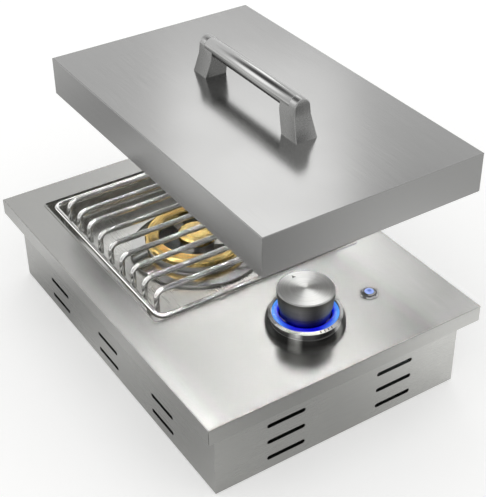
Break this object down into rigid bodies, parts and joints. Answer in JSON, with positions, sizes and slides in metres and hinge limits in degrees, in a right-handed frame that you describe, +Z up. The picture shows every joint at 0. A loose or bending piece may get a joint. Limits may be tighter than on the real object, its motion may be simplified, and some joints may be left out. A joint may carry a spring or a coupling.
{
  "type": "built in side burner",
  "caption": "Drop-in gas side burner: steel box with overhanging top, wire pot grate, brass ring burner, lit control knob, light button and a loose lid with a bar handle.",
  "frame": {"origin": "middle of the underside of the box below the deck, on the surface that it stands on", "axes": "+X to the right of the cook who faces the knob, +Y away from the cook to the gas inlet, +Z up"},
  "size_m": [0.3919, 0.5303, 0.3281],
  "materials": {
    "brushed_sheet": "fine brushed stainless sheet",
    "lid_sheet": "fine brushed stainless sheet",
    "pan_sheet": "brushed stainless sheet",
    "galvanised_sheet": "dull zinc coated sheet",
    "bright_sheet": "bright rolled stainless sheet",
    "polished_rod": "polished stainless rod",
    "screw_steel": "bright stainless",
    "spring_steel": "bright spring wire",
    "cast_silver": "cast aluminium, fettled",
    "pipe_aluminium": "drawn tube",
    "burner_brass": "turned brass",
    "valve_brass": "forged brass",
    "bezel_chrome": "bright chrome plate",
    "knob_metal": "turned, brushed in rings",
    "post_metal": "satin zinc casting",
    "handle_steel": "satin stainless bar",
    "lamp_plastic": "blue lit diffuser",
    "lens_plastic": "clear blue lens",
    "board_plastic": "moulded black",
    "pointer_paint": "black infill",
    "cell_wrap": "printed sleeve, plain",
    "ceramic": "glazed ceramic"
  },
  "bodies": {
    "housing": {"top_deck": "brushed_sheet", "front_panel": "brushed_sheet", "rear_panel": "brushed_sheet", "left_panel": "brushed_sheet", "right_panel": "brushed_sheet", "base_panel": "galvanised_sheet", "base_screws": "screw_steel", "heat_shield": "galvanised_sheet", "burner_pan": "pan_sheet", "burner_bowl": "cast_silver", "burner_screws": "screw_steel", "spill_ring": "bright_sheet", "mixing_tube": "cast_silver", "gas_jet": "burner_brass", "igniter_ceramic": "ceramic", "igniter_electrode": "screw_steel", "valve_body": "valve_brass", "valve_plate": "galvanised_sheet", "valve_screws": "screw_steel", "gas_pipe": "pipe_aluminium", "union_nuts": "valve_brass", "inlet_fitting": "valve_brass", "inlet_nut": "valve_brass", "knob_bezel": "bezel_chrome", "light_board": "board_plastic", "light_ring": "lamp_plastic", "button_bezel": "bezel_chrome", "button_nut": "valve_brass", "button_switch": "board_plastic", "battery_holder": "board_plastic", "battery_cells": "cell_wrap"},
    "lid": {"lid_shell": "lid_sheet", "handle_bar": "handle_steel", "handle_post_front": "post_metal", "handle_post_rear": "post_metal", "handle_screws": "screw_steel"},
    "grate": {"grate_frame": "polished_rod", "grate_bars": "polished_rod", "grate_feet": "polished_rod"},
    "flame_ring": {"outer_flame_ring": "burner_brass"},
    "flame_cap": {"inner_flame_cap": "burner_brass"},
    "shutter": {"air_shutter": "bright_sheet"},
    "push_collar": {"stem_collar": "screw_steel", "stem_spring": "spring_steel"},
    "knob": {"knob_shell": "knob_metal", "knob_pointer": "pointer_paint", "valve_stem": "screw_steel"},
    "light_button": {"button_plunger": "bezel_chrome", "button_lens": "lens_plastic", "button_spring": "spring_steel"}
  },
  "joints": [
    {"name": "lid_lift", "type": "slide", "parent": "housing", "child": "lid", "axis": [0.4722, 0.275, 0.8375], "range_m": [-0.13744, 0.1]},
    {"name": "grate_lift", "type": "slide", "parent": "housing", "child": "grate", "axis": [0, 0, 1], "range_m": [0, 0.06]},
    {"name": "flame_ring_lift", "type": "slide", "parent": "housing", "child": "flame_ring", "axis": [0, 0, 1], "range_m": [0, 0.02]},
    {"name": "flame_cap_lift", "type": "slide", "parent": "housing", "child": "flame_cap", "axis": [0, 0, 1], "range_m": [0, 0.02]},
    {"name": "knob_push", "type": "slide", "parent": "housing", "child": "push_collar", "axis": [0, 0, -1], "range_m": [0, 0.003], "stiffness_N_per_m": 3000, "springref_m": -0.002, "deforming": ["stem_spring"]},
    {"name": "knob_turn", "type": "hinge", "parent": "push_collar", "child": "knob", "pos_m": [0, -0.166, 0.13], "axis": [0, 0, 1], "range_deg": [0, 180]},
    {"name": "light_button_push", "type": "slide", "parent": "housing", "child": "light_button", "axis": [0, 0, -1], "range_m": [0, 0.002], "stiffness_N_per_m": 800, "springref_m": -0.001, "deforming": ["button_spring"]},
    {"name": "air_shutter_turn", "type": "hinge", "parent": "housing", "child": "shutter", "pos_m": [0, -0.11, 0.06], "axis": [0, 1, 0], "range_deg": [-18, 18]}
  ]
}
